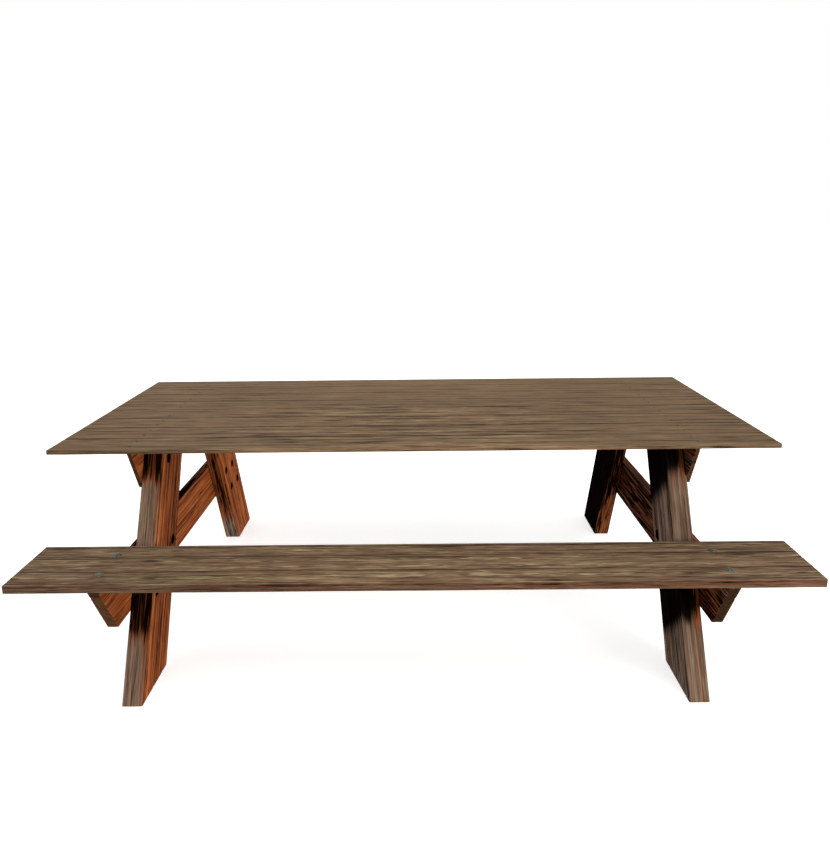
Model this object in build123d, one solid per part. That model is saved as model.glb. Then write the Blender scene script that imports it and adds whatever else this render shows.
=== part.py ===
from build123d import *
import os

# Picnic table with two attached benches, in millimetres.
# +Z is up, the front is toward -Y and the length runs along X.
# The origin is on the floor, below the middle of the tabletop.

SIDES = {"left": -1, "right": 1}    # sign of X
ENDS = {"front": -1, "rear": 1}     # sign of Y
UP = (0, 0, 1)
DOWN = (0, 0, -1)
FROM_BASE = (Align.CENTER, Align.CENTER, Align.MIN)
OVERCUT = 1.0            # how far a cutter runs past a face or a screw tip

# ---- tabletop -------------------------------------------------------------
TOP_Z = 750.0            # upper face
TOP_LENGTH = 2310.0
TOP_DEPTH = 966.0
TOP_THICK = 15.0
TOP_UNDER = TOP_Z - TOP_THICK
TOP_BOARDS = 8
TOP_GAP = 2.0            # drainage gap between neighbouring boards
BOARD_W = (TOP_DEPTH - (TOP_BOARDS - 1) * TOP_GAP) / TOP_BOARDS
BOARD_PITCH = BOARD_W + TOP_GAP
BOARD_Y = [-TOP_DEPTH / 2 + BOARD_W / 2 + i * BOARD_PITCH for i in range(TOP_BOARDS)]
TOP_ARRIS = 1.0          # eased long edges

# ---- bench planks ---------------------------------------------------------
BENCH_LENGTH = 2342.0
BENCH_OUTER_Y = 758.0    # outer edge of each plank from the middle
BENCH_W = 246.0
BENCH_Z = 440.0          # upper face
BENCH_THICK = 26.0
BENCH_UNDER = BENCH_Z - BENCH_THICK
BENCH_ARRIS = 1.5

# ---- legs -----------------------------------------------------------------
LEG_OUTER_X = 896.0      # outer face of the legs from the middle
LEG_THICK = 64.0
LEG_FOOT_Y = 691.0       # outer corner of each foot
LEG_FOOT_W = 209.0       # level width of a leg, measured along Y
LEG_SLOPE = 0.470        # how far a leg leans in per unit of height
LEG_ARRIS = 2.0

# ---- seat beams, bolted outside the legs ----------------------------------
BEAM_THICK = 34.0
BEAM_BOTTOM_Z = 246.0
BEAM_END_BOTTOM_Y = 657.0
BEAM_END_TOP_Y = 757.0
BEAM_ARRIS = 1.5

# ---- cleats under the tabletop, bolted outside the legs -------------------
CLEAT_THICK = 15.0
CLEAT_X = LEG_OUTER_X + CLEAT_THICK / 2
CLEAT_BOTTOM_Z = 589.0
CLEAT_END_BOTTOM_Y = 390.0
CLEAT_END_TOP_Y = 465.0
CLEAT_ARRIS = 1.0

# ---- centre batten, flat under the boards ---------------------------------
BATTEN_W = 90.0
BATTEN_THICK = 25.0
BATTEN_BOTTOM_Z = TOP_UNDER - BATTEN_THICK
BATTEN_END_Y = 430.0
BATTEN_BEVEL_Y = 40.0    # bevelled length of each end
BATTEN_BEVEL_Z = 15.0
BATTEN_ARRIS = 1.0

# ---- leg bolts: M10, dome head outside, nut and washer recessed inside ----
BOLT_D = 10.0
BOLT_HOLE_D = BOLT_D + 0.6
BOLT_HEAD_D = 24.0
BOLT_HEAD_H = 5.0
BOLT_NECK_W = 11.0       # square neck under the dome head
BOLT_NECK_LEN = 6.0
NECK_CLEARANCE = 0.2     # added to the neck's width and depth in the wood
BOLT_TIP_OUT = 3.0       # thread standing out of the nut
BOLT_TIP_CHAMFER = 1.0
RECESS_D = 26.0
RECESS_DEPTH = 18.0
WASHER_D = 24.0
WASHER_HOLE_D = BOLT_D + 0.8
WASHER_T = 2.0
NUT_AF = 17.0            # across flats
NUT_H = 8.0
NUT_HOLE_D = BOLT_D + 0.2
NUT_CHAMFER = 0.6
# Each leg's bolts: (distance from the middle along Y, height)
BEAM_BOLTS = [(337.0, 380.0), (435.0, 380.0), (407.0, 283.0), (505.0, 283.0)]
CLEAT_BOLTS = [(217.0, 667.0), (317.0, 667.0)]

# ---- dome-headed screws through the bench planks into the seat beams ------
DOME_D = 28.0
DOME_H = 4.5
DOME_RIM_H = 0.8         # upright rim of every dome head
DOME_SHANK_D = 8.0
DOME_SHANK_LEN = 90.0
DOME_POINT_LEN = 8.0     # tapered end of the shank
DOME_TIP_R = 0.6
DOME_PILOT_D = DOME_SHANK_D + 0.4
DOME_PILOT_SPARE = 3.0   # pilot hole beyond the tip
DOME_FRACTIONS = (0.24, 0.74)   # across the plank, from its outer edge
DOME_OFFSET = 6.0               # outward from the middle of the beam's thickness
DOME_X = LEG_OUTER_X + BEAM_THICK / 2 + DOME_OFFSET

# ---- countersunk wood screws ----------------------------------------------
SCREW_HEAD_D = 8.0
SCREW_HEAD_H = 2.4
SCREW_RIM_H = 0.3        # upright rim of the head
SCREW_D = 4.0
SCREW_POINT_LEN = 5.0
SCREW_TIP_R = 0.4
SCREW_SINK = 0.4         # head below the wood's face
SCREW_PILOT_D = SCREW_D + 0.3
SCREW_SOCKET_D = 3.2     # hexagonal driver socket, across corners
SCREW_SOCKET_H = 1.5
SINK_SIDE_GAP = 0.25     # countersink's clearance around the head
SINK_RIM_GAP = 0.2       # extra depth of the countersink's upright wall
SINK_CONE_GAP = 0.35     # extra depth of the countersink's cone
TOP_SCREW_LEN = 35.0
TOP_SCREW_PITCH = 54.0   # spacing of a board's two screws
TOP_SCREW_OFFSETS = (-TOP_SCREW_PITCH / 2, TOP_SCREW_PITCH / 2)
BATTEN_SCREW_LEN = 34.0
BATTEN_SCREW_X = 22.0    # screws alternate either side of the batten's middle
EDGE_SCREW_SHIFT = 38.0  # edge boards' single batten screw, in from the board's middle


# ---- shared shapes ----------------------------------------------------------
def place(shape, point, direction):
    """Moves a shape's origin to a point and turns its Z axis along a direction."""
    return Plane(origin=point, z_dir=direction) * shape


def rod(point, diameter, length, direction):
    """A cylinder that starts at a point and runs along a direction."""
    return place(Cylinder(diameter / 2, length, align=FROM_BASE), point, direction)


def turned(*outline):
    """A solid turned about Z from a closed outline of (radius, z) points."""
    return revolve(Plane.XZ * make_face(Polyline(*outline, close=True)), Axis.Z)


def plate(outline, x_start, x_end):
    """A plate with a (y, z) outline, filling the space between two X values."""
    low, high = min(x_start, x_end), max(x_start, x_end)
    face = Plane.YZ.offset(low) * make_face(Polyline(*outline, close=True))
    return extrude(face, high - low)


def ease_along(solid, size, axis):
    """Chamfers a board's edges that run along an axis."""
    return chamfer(solid.edges().filter_by(axis), size)


def dome(diameter, height):
    """A low round head whose flat underside is at z = 0."""
    radius = diameter / 2
    rise = height - DOME_RIM_H
    ball_radius = (radius**2 + rise**2) / (2 * rise)
    ball = Pos(0, 0, height - ball_radius) * Sphere(ball_radius)
    return ball & Cylinder(radius, height, align=FROM_BASE)


# ---- hardware and its cutters -----------------------------------------------
def screw(point, direction, length):
    """A countersunk screw. The point is the middle of the head's flat face."""
    head_radius, shank_radius = SCREW_HEAD_D / 2, SCREW_D / 2
    body = turned(
        (0, 0),
        (head_radius, 0),
        (head_radius, SCREW_RIM_H),
        (shank_radius, SCREW_HEAD_H),
        (shank_radius, length - SCREW_POINT_LEN),
        (SCREW_TIP_R, length),
        (0, length),
    )
    body -= extrude(RegularPolygon(SCREW_SOCKET_D / 2, 6), SCREW_SOCKET_H)
    return place(body, point, direction)


def screw_cutter(point, direction, length):
    """Countersink and pilot hole for a screw, cut from a board's own face."""
    sink_radius, pilot_radius = SCREW_HEAD_D / 2 + SINK_SIDE_GAP, SCREW_PILOT_D / 2
    bottom = length + SCREW_SINK + OVERCUT
    cutter = turned(
        (0, -OVERCUT),
        (sink_radius, -OVERCUT),
        (sink_radius, SCREW_SINK + SCREW_RIM_H + SINK_RIM_GAP),
        (pilot_radius, SCREW_SINK + SCREW_HEAD_H + SINK_CONE_GAP),
        (pilot_radius, bottom),
        (0, bottom),
    )
    return place(cutter, point, direction)


def far_pilot(point, direction, screw_length, near_thick):
    """Pilot hole in the second board a screw reaches, past a near board."""
    start = tuple(p - OVERCUT * d for p, d in zip(point, direction))
    depth = screw_length + SCREW_SINK - near_thick + 2 * OVERCUT
    return rod(start, SCREW_PILOT_D, depth, direction)


def dome_screw(x, y):
    """A dome-headed screw standing on a bench plank."""
    shank_radius = DOME_SHANK_D / 2
    body = dome(DOME_D, DOME_H)
    body += turned(
        (0, 0),
        (shank_radius, 0),
        (shank_radius, -DOME_SHANK_LEN + DOME_POINT_LEN),
        (DOME_TIP_R, -DOME_SHANK_LEN),
        (0, -DOME_SHANK_LEN),
    )
    return Pos(x, y, BENCH_Z) * body


def bolt_grip(board_thick):
    """Wood between a bolt's head and its washer."""
    return board_thick + LEG_THICK - RECESS_DEPTH


def carriage_bolt(side, y, z, board_thick):
    """A bolt through a board and a leg, with its head on the board's outer face."""
    body = Rot(180, 0, 0) * dome(BOLT_HEAD_D, BOLT_HEAD_H)
    body += Pos(0, 0, BOLT_NECK_LEN / 2) * Box(BOLT_NECK_W, BOLT_NECK_W, BOLT_NECK_LEN)
    length = bolt_grip(board_thick) + WASHER_T + NUT_H + BOLT_TIP_OUT
    shank = Cylinder(BOLT_D / 2, length, align=FROM_BASE)
    body += chamfer(shank.edges().sort_by(Axis.Z)[-1], BOLT_TIP_CHAMFER)
    return place(body, (side * (LEG_OUTER_X + board_thick), y, z), (-side, 0, 0))


def bolt_cutter(side, y, z, board_thick):
    """Bolt hole in a beam or cleat, with the square bite of the bolt's neck."""
    head = (side * (LEG_OUTER_X + board_thick), y, z)
    inward = (-side, 0, 0)
    width = BOLT_NECK_W + NECK_CLEARANCE
    depth = BOLT_NECK_LEN + NECK_CLEARANCE
    neck = Pos(0, 0, depth / 2) * Box(width, width, depth)
    return rod(head, BOLT_HOLE_D, bolt_grip(board_thick), inward) + place(neck, head, inward)


def washer(side, y, z):
    """A washer on the floor of a leg's recess."""
    seat = (side * (LEG_OUTER_X - LEG_THICK + RECESS_DEPTH), y, z)
    inward = (-side, 0, 0)
    ring = rod(seat, WASHER_D, WASHER_T, inward)
    return ring - rod(seat, WASHER_HOLE_D, WASHER_T, inward)


def nut(side, y, z):
    """A hexagonal nut on its washer."""
    body = extrude(RegularPolygon(NUT_AF / 2, 6, major_radius=False), NUT_H)
    body = chamfer(body.edges().group_by(Axis.Z)[-1], NUT_CHAMFER)
    body -= Cylinder(NUT_HOLE_D / 2, 3 * NUT_H)
    seat_x = side * (LEG_OUTER_X - LEG_THICK + RECESS_DEPTH - WASHER_T)
    return place(body, (seat_x, y, z), (-side, 0, 0))


# ---- where the hardware goes ------------------------------------------------
def top_screw_points(board_y):
    """(x, y) of the screws that hold one tabletop board to the cleats."""
    return [(side * CLEAT_X, board_y + dy) for side in SIDES.values() for dy in TOP_SCREW_OFFSETS]


def batten_screw_points():
    """(x, y) of the batten's screws, as one list per tabletop board."""
    points = []
    count = 0
    for i, board_y in enumerate(BOARD_Y):
        offsets = TOP_SCREW_OFFSETS
        if i == 0:
            offsets = (EDGE_SCREW_SHIFT,)
        elif i == TOP_BOARDS - 1:
            offsets = (-EDGE_SCREW_SHIFT,)
        board_points = []
        for dy in offsets:
            x = BATTEN_SCREW_X if count % 2 else -BATTEN_SCREW_X
            board_points.append((x, board_y + dy))
            count += 1
        points.append(board_points)
    return points


def dome_screw_ys(end):
    """Y of the dome screws across one bench plank."""
    return [end * (BENCH_OUTER_Y - fraction * BENCH_W) for fraction in DOME_FRACTIONS]


def bolt_points(bolts):
    """(side, y, z) of the given bolts in all four legs."""
    return [
        (side, end * y, z) for side in SIDES.values() for end in ENDS.values() for y, z in bolts
    ]


# ---- wooden pieces ----------------------------------------------------------
def tabletop_board(board_y, batten_points):
    board = Pos(0, board_y, TOP_Z - TOP_THICK / 2) * Box(TOP_LENGTH, BOARD_W, TOP_THICK)
    board = ease_along(board, TOP_ARRIS, Axis.X)
    for x, y in top_screw_points(board_y):
        board -= screw_cutter((x, y, TOP_Z), DOWN, TOP_SCREW_LEN)
    for x, y in batten_points:
        board -= far_pilot((x, y, TOP_UNDER), UP, BATTEN_SCREW_LEN, BATTEN_THICK)
    return board


def centre_batten(points):
    flat_y = BATTEN_END_Y - BATTEN_BEVEL_Y
    bevel_z = BATTEN_BOTTOM_Z + BATTEN_BEVEL_Z
    outline = [
        (-BATTEN_END_Y, TOP_UNDER),
        (BATTEN_END_Y, TOP_UNDER),
        (BATTEN_END_Y, bevel_z),
        (flat_y, BATTEN_BOTTOM_Z),
        (-flat_y, BATTEN_BOTTOM_Z),
        (-BATTEN_END_Y, bevel_z),
    ]
    batten = ease_along(plate(outline, -BATTEN_W / 2, BATTEN_W / 2), BATTEN_ARRIS, Axis.Y)
    for x, y in points:
        batten -= screw_cutter((x, y, BATTEN_BOTTOM_Z), UP, BATTEN_SCREW_LEN)
    return batten


def bench_plank(end):
    plank_y = end * (BENCH_OUTER_Y - BENCH_W / 2)
    plank = Pos(0, plank_y, BENCH_Z - BENCH_THICK / 2) * Box(BENCH_LENGTH, BENCH_W, BENCH_THICK)
    plank = chamfer(plank.edges(), BENCH_ARRIS)
    for side in SIDES.values():
        for y in dome_screw_ys(end):
            start = (side * DOME_X, y, BENCH_Z + OVERCUT)
            plank -= rod(start, DOME_PILOT_D, BENCH_THICK + 2 * OVERCUT, DOWN)
    return plank


def leg(side, end):
    lean = LEG_SLOPE * TOP_UNDER
    outline = [
        (end * LEG_FOOT_Y, 0),
        (end * (LEG_FOOT_Y - LEG_FOOT_W), 0),
        (end * (LEG_FOOT_Y - LEG_FOOT_W - lean), TOP_UNDER),
        (end * (LEG_FOOT_Y - lean), TOP_UNDER),
    ]
    inner_x = side * (LEG_OUTER_X - LEG_THICK)
    body = plate(outline, side * LEG_OUTER_X, inner_x)
    # Only the sloped edges span the leg's full height.
    sloped = [edge for edge in body.edges() if abs(edge.bounding_box().size.Z - TOP_UNDER) < 1]
    body = chamfer(sloped, LEG_ARRIS)
    for y, z in BEAM_BOLTS + CLEAT_BOLTS:
        start = (inner_x, end * y, z)
        body -= rod(start, RECESS_D, RECESS_DEPTH, (side, 0, 0))
        body -= rod(start, BOLT_HOLE_D, LEG_THICK + OVERCUT, (side, 0, 0))
    return body


def cross_board(side, thick, bottom, top, arris):
    """A board outside the legs, from its (half length, z) at the bottom and top."""
    (bottom_y, bottom_z), (top_y, top_z) = bottom, top
    outline = [(-bottom_y, bottom_z), (bottom_y, bottom_z), (top_y, top_z), (-top_y, top_z)]
    board = plate(outline, side * LEG_OUTER_X, side * (LEG_OUTER_X + thick))
    return ease_along(board, arris, Axis.Y)


def seat_beam(side):
    bottom, top = (BEAM_END_BOTTOM_Y, BEAM_BOTTOM_Z), (BEAM_END_TOP_Y, BENCH_UNDER)
    beam = cross_board(side, BEAM_THICK, bottom, top, BEAM_ARRIS)
    pilot_depth = DOME_SHANK_LEN - BENCH_THICK + DOME_PILOT_SPARE + OVERCUT
    for end in ENDS.values():
        for y, z in BEAM_BOLTS:
            beam -= bolt_cutter(side, end * y, z, BEAM_THICK)
        for y in dome_screw_ys(end):
            start = (side * DOME_X, y, BENCH_UNDER + OVERCUT)
            beam -= rod(start, DOME_PILOT_D, pilot_depth, DOWN)
    return beam


def top_cleat(side):
    bottom, top = (CLEAT_END_BOTTOM_Y, CLEAT_BOTTOM_Z), (CLEAT_END_TOP_Y, TOP_UNDER)
    cleat = cross_board(side, CLEAT_THICK, bottom, top, CLEAT_ARRIS)
    for end in ENDS.values():
        for y, z in CLEAT_BOLTS:
            cleat -= bolt_cutter(side, end * y, z, CLEAT_THICK)
    for board_y in BOARD_Y:
        for dy in TOP_SCREW_OFFSETS:
            point = (side * CLEAT_X, board_y + dy, TOP_UNDER)
            cleat -= far_pilot(point, DOWN, TOP_SCREW_LEN, TOP_THICK)
    return cleat


# ---- assembly ---------------------------------------------------------------
batten_rows = batten_screw_points()
batten_points = [point for row in batten_rows for point in row]

parts = {}
for i, board_y in enumerate(BOARD_Y):
    parts[f"tabletop_board_{i + 1}"] = tabletop_board(board_y, batten_rows[i])
parts["centre_batten"] = centre_batten(batten_points)
for end_name, end in ENDS.items():
    parts[f"{end_name}_bench_plank"] = bench_plank(end)
for side_name, side in SIDES.items():
    for end_name, end in ENDS.items():
        parts[f"leg_{end_name}_{side_name}"] = leg(side, end)
    parts[f"seat_beam_{side_name}"] = seat_beam(side)
    parts[f"top_cleat_{side_name}"] = top_cleat(side)

leg_bolt_points = bolt_points(BEAM_BOLTS + CLEAT_BOLTS)
hardware = {
    "tabletop_screws": [
        screw((x, y, TOP_Z - SCREW_SINK), DOWN, TOP_SCREW_LEN)
        for board_y in BOARD_Y
        for x, y in top_screw_points(board_y)
    ],
    "batten_screws": [
        screw((x, y, BATTEN_BOTTOM_Z + SCREW_SINK), UP, BATTEN_SCREW_LEN)
        for x, y in batten_points
    ],
    "bench_dome_screws": [
        dome_screw(side * DOME_X, y)
        for end in ENDS.values()
        for side in SIDES.values()
        for y in dome_screw_ys(end)
    ],
    "beam_bolts": [carriage_bolt(*point, BEAM_THICK) for point in bolt_points(BEAM_BOLTS)],
    "cleat_bolts": [carriage_bolt(*point, CLEAT_THICK) for point in bolt_points(CLEAT_BOLTS)],
    "bolt_washers": [washer(*point) for point in leg_bolt_points],
    "bolt_nuts": [nut(*point) for point in leg_bolt_points],
}
for name, pieces in hardware.items():
    parts[name] = Compound(children=[piece.solid() for piece in pieces])

os.makedirs("parts", exist_ok=True)
for name, shape in parts.items():
    export_step(shape, f"parts/{name}.step")
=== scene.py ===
# A weathered timber picnic table with a bench along the front and one along the rear.
# It stands on z = 0. Boards run along x, -x is left, -y is the front, and the slanted legs
# stand at both ends, bolted to a seat beam and a top cleat that run along y.
import functools
import math

import bmesh
import bpy
import numpy as np
from mathutils import Matrix, Vector
from mathutils.kdtree import KDTree


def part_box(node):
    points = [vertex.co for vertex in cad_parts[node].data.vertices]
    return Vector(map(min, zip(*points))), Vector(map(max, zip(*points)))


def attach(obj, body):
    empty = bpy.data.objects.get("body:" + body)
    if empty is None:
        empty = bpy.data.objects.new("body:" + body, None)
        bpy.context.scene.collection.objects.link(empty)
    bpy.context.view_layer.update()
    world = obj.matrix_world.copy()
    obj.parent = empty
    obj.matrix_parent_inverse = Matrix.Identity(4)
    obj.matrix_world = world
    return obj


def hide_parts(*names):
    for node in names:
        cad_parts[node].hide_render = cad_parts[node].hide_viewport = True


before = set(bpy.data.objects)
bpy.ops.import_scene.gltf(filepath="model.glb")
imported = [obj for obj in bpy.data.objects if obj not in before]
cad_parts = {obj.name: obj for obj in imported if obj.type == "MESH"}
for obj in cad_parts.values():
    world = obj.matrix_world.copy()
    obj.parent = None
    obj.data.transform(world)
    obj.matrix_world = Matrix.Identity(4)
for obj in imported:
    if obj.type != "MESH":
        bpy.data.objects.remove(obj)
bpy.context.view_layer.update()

SCENE = bpy.context.scene

# Legs: inward lean per metre of height, and the outer edge's distance from y = 0 at the floor
LEG_SLOPE = 0.470
LEG_NORM = math.sqrt(1 + LEG_SLOPE ** 2)
LEG_EDGE_AT_FLOOR = 0.691

# Bolts through each leg, (distance from y = 0, height)
BEAM_BOLTS = [(0.337, 0.380), (0.435, 0.380), (0.407, 0.283), (0.505, 0.283)]
CLEAT_BOLTS = [(0.217, 0.667), (0.317, 0.667)]
LEG_HOLES = BEAM_BOLTS + CLEAT_BOLTS

RECESS = 0.018             # depth of the nut recesses in the legs' inner faces
SHANK_HOLE_R = 0.0054      # bolt hole, and the washers' hole
WASHER_R = 0.0120
WASHER_H = 0.0020
NUT_H = 0.008
NUT_FLAT = 0.0085          # from the nut's axis to a flat
BOLT_PAST_RECESS = 0.013   # how far the bolts reach past the recess floor
THREAD_PITCH = 0.0012
DOME_R = 0.014             # heads of the bench screws

PITH_WANDER = 0.010        # how far the heart of the log strays along a board


# ---------------------------------------------------------------------------
# repeatable noise
# ---------------------------------------------------------------------------
@functools.lru_cache(maxsize=None)
def noise_table(seed):
    return np.random.RandomState(seed).rand(256, 256) * 2 - 1


def ease(t):
    return t * t * t * (t * (t * 6 - 15) + 10)


def noise(x, y, seed):
    """Smooth value noise, -1 to 1, on arrays."""
    table = noise_table(seed)
    x, y = np.asarray(x, float), np.asarray(y, float)
    col, row = np.floor(x).astype(int), np.floor(y).astype(int)
    mix_x, mix_y = ease(x - col), ease(y - row)
    near_low = table[col % 256, row % 256]
    far_low = table[(col + 1) % 256, row % 256]
    near_high = table[col % 256, (row + 1) % 256]
    far_high = table[(col + 1) % 256, (row + 1) % 256]
    low = near_low * (1 - mix_x) + far_low * mix_x
    high = near_high * (1 - mix_x) + far_high * mix_x
    return low * (1 - mix_y) + high * mix_y


def fbm(x, y, seed, octaves=3):
    """Noise summed over octaves, each twice as fine and half as strong."""
    total, gain, norm = 0.0, 1.0, 0.0
    for o in range(octaves):
        total = total + gain * noise(x * 2 ** o + 17.3 * o, y * 2 ** o + 5.1 * o, seed + o)
        norm += gain
        gain *= 0.5
    return total / norm


def smooth(x, lo, hi):
    t = np.clip((x - lo) / (hi - lo), 0, 1)
    return t * t * (3 - 2 * t)


def bell(x):
    return np.exp(-x ** 2)


# ---------------------------------------------------------------------------
# mesh helpers
# ---------------------------------------------------------------------------
def link(name, data):
    ob = bpy.data.objects.new(name, data)
    SCENE.collection.objects.link(ob)
    return ob


def shade_smooth(mesh, sharp_degrees):
    for p in mesh.polygons:
        p.use_smooth = True
    mesh.set_sharp_from_angle(angle=math.radians(sharp_degrees))


def points_of(mesh):
    flat = np.zeros(len(mesh.vertices) * 3, np.float32)
    mesh.vertices.foreach_get("co", flat)
    return flat.reshape(-1, 3)


def read_attr(mesh, name):
    values = np.zeros(len(mesh.vertices), np.float32)
    mesh.attributes[name].data.foreach_get("value", values)
    return values


def set_attr(mesh, name, values):
    """Writes a point attribute. A single number goes to every point."""
    if np.ndim(values) == 0:
        values = np.full(len(mesh.vertices), values)
    kind, field = ("FLOAT_VECTOR", "vector") if np.ndim(values) == 2 else ("FLOAT", "value")
    attribute = mesh.attributes.get(name) or mesh.attributes.new(name, kind, "POINT")
    attribute.data.foreach_set(field, np.ascontiguousarray(values, np.float32).ravel())


def own(ob, node, slot):
    """Gives an object its material and puts it in the place of a CAD node."""
    ob.data.materials.append(FINISH[slot])
    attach(ob, "root")
    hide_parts(node)
    return ob


def mid_size(node):
    lo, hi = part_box(node)
    return (lo + hi) / 2, hi - lo


# ---------------------------------------------------------------------------
# sawn timber, modelled as a swept section with worn arrises, raised grain,
# drying checks and sawn end faces. A board's own axes are along the grain,
# across its width and deep through its thickness.
# ---------------------------------------------------------------------------
def section(width, thick, arris, step_across, step_deep):
    """Points round a board's section, as rows of across, deep, outward normal across, outward
    normal deep, face. Faces: 0 top, 1 side +across, 2 bottom, 3 side -across."""
    count_across = max(4, int(round((width - 2 * arris) / step_across)))
    count_deep = max(3, int(round((thick - 2 * arris) / step_deep)))
    flat_across, flat_deep = width / 2 - arris, thick / 2 - arris
    acrosses = np.linspace(-flat_across, flat_across, count_across + 1)
    deeps = np.linspace(flat_deep, -flat_deep, count_deep + 1)
    rows = []

    def corner(across, deep, start, face, next_face):
        for k in (0.25, 0.5, 0.75):
            angle = start - k * math.pi / 2
            out_across, out_deep = math.cos(angle), math.sin(angle)
            rows.append((across + arris * out_across, deep + arris * out_deep,
                         out_across, out_deep, face if k < 0.5 else next_face))

    rows += [(across, thick / 2, 0, 1, 0) for across in acrosses]
    corner(flat_across, flat_deep, math.pi / 2, 0, 1)
    rows += [(width / 2, deep, 1, 0, 1) for deep in deeps]
    corner(flat_across, -flat_deep, 0, 1, 2)
    rows += [(across, -thick / 2, 0, -1, 2) for across in acrosses[::-1]]
    corner(-flat_across, -flat_deep, -math.pi / 2, 2, 3)
    rows += [(-width / 2, deep, -1, 0, 3) for deep in deeps[::-1]]
    corner(-flat_across, flat_deep, math.pi, 3, 0)
    return np.array(rows, float)


def stations(length, end_wear, count):
    """Places along a board, 0 to 1, and how far the section draws in at each."""
    share = [0.0, 0.3 * end_wear / length, end_wear / length]
    inset = [end_wear * 0.45, end_wear * 0.14, 0.0]
    inner = np.linspace(2.4 * end_wear / length, 1 - 2.4 * end_wear / length, count)
    return (np.array(share + list(inner) + [1 - x for x in share[::-1]]),
            np.array(inset + [0.0] * count + inset[::-1]))


def drying_checks(rng, count, along, across, face, lo, hi, width, length, offset, seed):
    """Strength, 0 to 1, of the cracks in the top and bottom. Most are open at an end."""
    crack = np.zeros_like(along)
    for k in range(count):
        cracked_face = 0 if rng.rand() < 0.6 else 2
        at_end = rng.rand() < 0.75
        run = 0.05 + 0.22 * rng.rand() ** 1.6
        place = (rng.rand() - 0.5) * (width - 0.02)
        middle = rng.rand() * length
        drift = (rng.rand() - 0.5) * 0.02
        first_end = rng.rand() < 0.5
        from_end = (along - lo) if first_end else (hi - along)
        reach = from_end / run if at_end else np.abs((along - lo) - middle) / (run * 0.6)
        line = place + drift * from_end + 0.0012 * noise(along * 14 + offset[1], k, seed + 61)
        spread = 0.0009 + 0.0009 * (1 - np.clip(reach, 0, 1))
        fade = np.clip(1 - reach, 0, 1) ** 0.6
        crack = np.maximum(crack, bell((across - line) / spread) * fade * (face == cracked_face))
    return crack


def layer(*columns):
    """One row per point, from arrays and numbers that share a shape."""
    return np.stack(np.broadcast_arrays(*columns), -1).reshape(-1, len(columns))


def quad_mesh(name, points, quads):
    mesh = bpy.data.meshes.new(name)
    mesh.vertices.add(len(points))
    mesh.vertices.foreach_set("co", points.astype(np.float32).ravel())
    mesh.loops.add(quads.size)
    mesh.loops.foreach_set("vertex_index", quads.ravel().astype(np.int32))
    mesh.polygons.add(len(quads))
    mesh.polygons.foreach_set("loop_start", np.arange(0, quads.size, 4, dtype=np.int32))
    mesh.polygons.foreach_set("loop_total", np.full(len(quads), 4, np.int32))
    mesh.update()
    return mesh


def weld_ends(mesh, row_count, point_count, cap_rings):
    """Welds the middle line of each end face, and turns the skin outward."""
    bm = bmesh.new()
    bm.from_mesh(mesh)
    first = (row_count + cap_rings - 1) * point_count
    second = first + cap_rings * point_count
    lines = [v for v in bm.verts if first <= v.index < first + point_count or v.index >= second]
    bmesh.ops.remove_doubles(bm, verts=lines, dist=2e-5)
    if bm.calc_volume(signed=True) < 0:
        bmesh.ops.reverse_faces(bm, faces=bm.faces)
    bm.to_mesh(mesh)
    bm.free()


# Object name: origin, the three axes and the shift of the grain pattern
GRAIN = {}


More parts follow.
